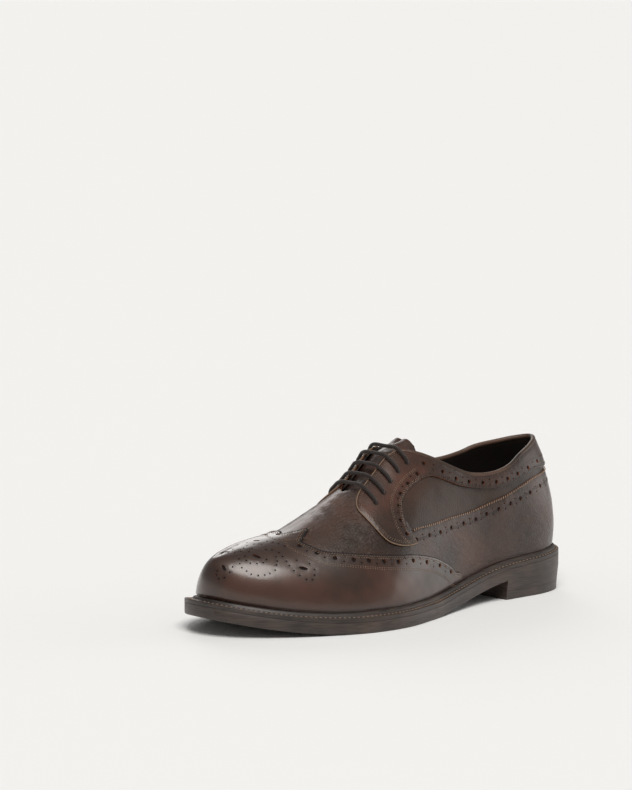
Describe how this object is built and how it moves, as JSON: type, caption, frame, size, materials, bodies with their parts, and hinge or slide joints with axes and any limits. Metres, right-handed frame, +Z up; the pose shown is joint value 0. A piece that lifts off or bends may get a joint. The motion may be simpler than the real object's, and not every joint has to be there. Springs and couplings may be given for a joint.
{
  "type": "wing-tip derby brogue, left shoe",
  "caption": "Brown leather wing-tip derby brogue for a left foot, laced, with a storm welt, a flat sole and a low stacked heel.",
  "frame": {"origin": "on the floor under the middle of the shoe's box", "axes": "+Z up from the floor, +Y towards the heel and the toe towards -Y, +X towards the outer side of the foot"},
  "size_m": [0.1142, 0.3, 0.1111],
  "materials": {
    "sole_edge": "waxed dark brown edge with fine level lines",
    "welt": "waxed, stitched and slightly worn",
    "lining": "dull dark lining leather",
    "upper_leather": "grained calf, burnished dark brown",
    "cap_leather": "polished calf, warmer brown at the edges",
    "panel_leather": "grained calf, reddish brown",
    "lace": "waxed round cotton cord"
  },
  "bodies": {
    "root": {"outsole": "sole_edge", "heel": "sole_edge", "welt": "welt", "insole": "lining", "upper": "upper_leather", "wing_cap": "cap_leather", "collar_band": "panel_leather", "tongue": "upper_leather", "facing_lateral": "panel_leather", "facing_medial": "panel_leather", "lace_bar_1": "lace", "lace_bar_2": "lace", "lace_bar_3": "lace", "lace_bar_4": "lace", "lace_bar_5": "lace"}
  },
  "joints": []
}
